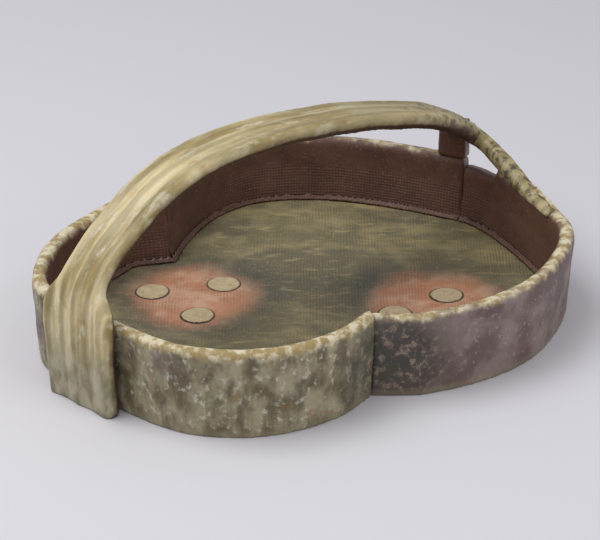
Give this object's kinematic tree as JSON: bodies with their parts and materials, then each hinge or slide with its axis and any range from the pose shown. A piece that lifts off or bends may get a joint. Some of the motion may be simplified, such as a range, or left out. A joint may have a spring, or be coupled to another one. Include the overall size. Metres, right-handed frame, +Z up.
{
  "type": "handled bowl",
  "caption": "Shallow four-lobed stoneware dish with a grooved strap handle arching over it from one corner to the far wall.",
  "frame": {"origin": "on the table, at the middle of the floor slab's underside", "axes": "+Z up out of the dish, +X to the right and +Y away from the viewer of the picture"},
  "size_m": [0.2823, 0.2784, 0.1142],
  "materials": {
    "cream_glaze": "satin ash glaze",
    "olive_glaze": "satin ash glaze",
    "floor_glaze": "satin ash glaze over cloth marks",
    "bare_clay": "bare fired clay",
    "dark_clay": "bare fired clay",
    "wad_clay": "rough fireclay"
  },
  "bodies": {
    "root": {"floor_slab": "floor_glaze", "front_wall": "olive_glaze", "right_wall": "bare_clay", "back_wall": "dark_clay", "left_wall": "olive_glaze", "handle_strap": "cream_glaze", "handle_post": "dark_clay", "front_corner_coil": "dark_clay", "right_corner_coil": "dark_clay", "back_corner_coil": "dark_clay", "left_corner_coil": "dark_clay", "wad_1": "wad_clay", "wad_2": "wad_clay", "wad_3": "wad_clay", "wad_4": "wad_clay", "wad_5": "wad_clay", "wad_6": "wad_clay"}
  },
  "joints": []
}
